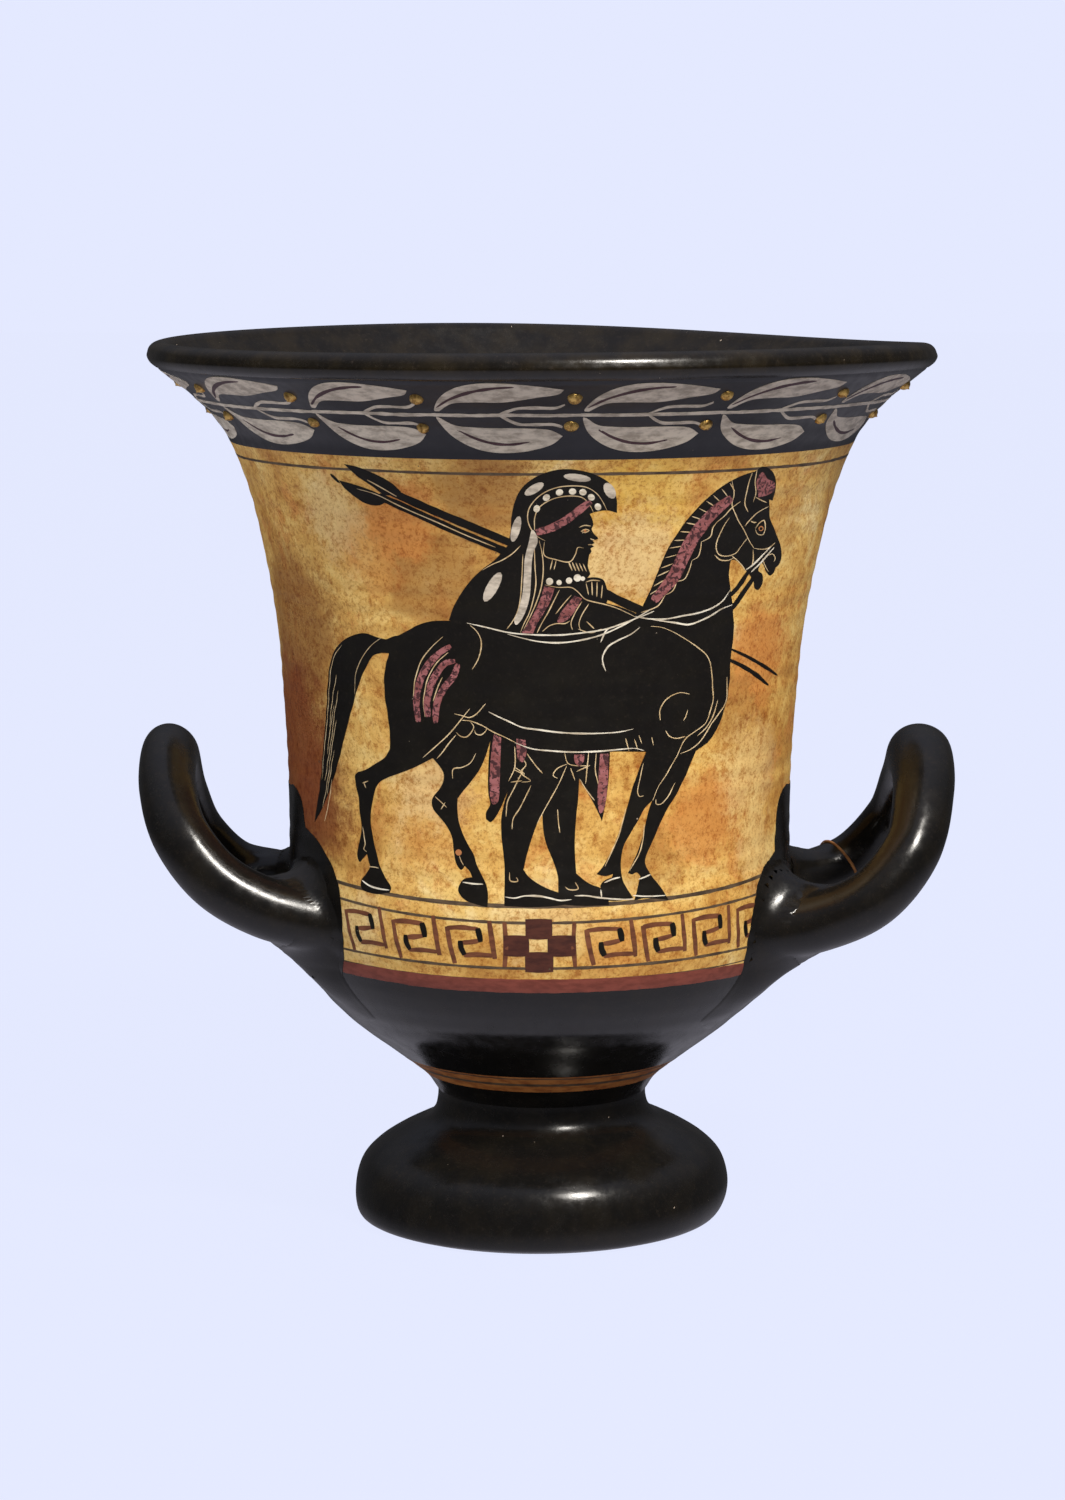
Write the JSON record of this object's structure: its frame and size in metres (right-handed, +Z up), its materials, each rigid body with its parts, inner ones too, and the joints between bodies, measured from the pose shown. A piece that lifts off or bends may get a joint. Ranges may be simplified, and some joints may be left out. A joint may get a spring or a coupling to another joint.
{
  "type": "calyx-krater",
  "caption": "Flaring ceramic wine-mixing vase on a spreading foot, with two upturned loop handles, a painted picture wall and a wreath of raised gilded berries under the lip.",
  "frame": {"origin": "centre of the foot's resting ring, on the ground", "axes": "+Z up along the bowl's axis, -Y out of the picture side, +X and -X to the two handles"},
  "size_m": [0.2293, 0.2204, 0.2501],
  "materials": {
    "painted_clay": "satin orange-brown fired clay with black slip decoration",
    "black_gloss": "semi-gloss black-brown slip",
    "gilding": "worn gilding over raised clay"
  },
  "bodies": {
    "root": {"wall": "painted_clay", "cul": "painted_clay", "foot": "black_gloss", "handle_left": "black_gloss", "handle_right": "black_gloss", "berry_upper_01": "gilding", "berry_upper_02": "gilding", "berry_upper_03": "gilding", "berry_upper_04": "gilding", "berry_upper_05": "gilding", "berry_upper_06": "gilding", "berry_upper_07": "gilding", "berry_upper_08": "gilding", "berry_upper_09": "gilding", "berry_upper_10": "gilding", "berry_upper_11": "gilding", "berry_upper_12": "gilding", "berry_upper_13": "gilding", "berry_upper_14": "gilding", "berry_upper_15": "gilding", "berry_lower_01": "gilding", "berry_lower_02": "gilding", "berry_lower_03": "gilding", "berry_lower_04": "gilding", "berry_lower_05": "gilding", "berry_lower_06": "gilding", "berry_lower_07": "gilding", "berry_lower_08": "gilding", "berry_lower_09": "gilding", "berry_lower_10": "gilding", "berry_lower_11": "gilding", "berry_lower_12": "gilding", "berry_lower_13": "gilding", "berry_lower_14": "gilding", "berry_lower_15": "gilding"}
  },
  "joints": []
}
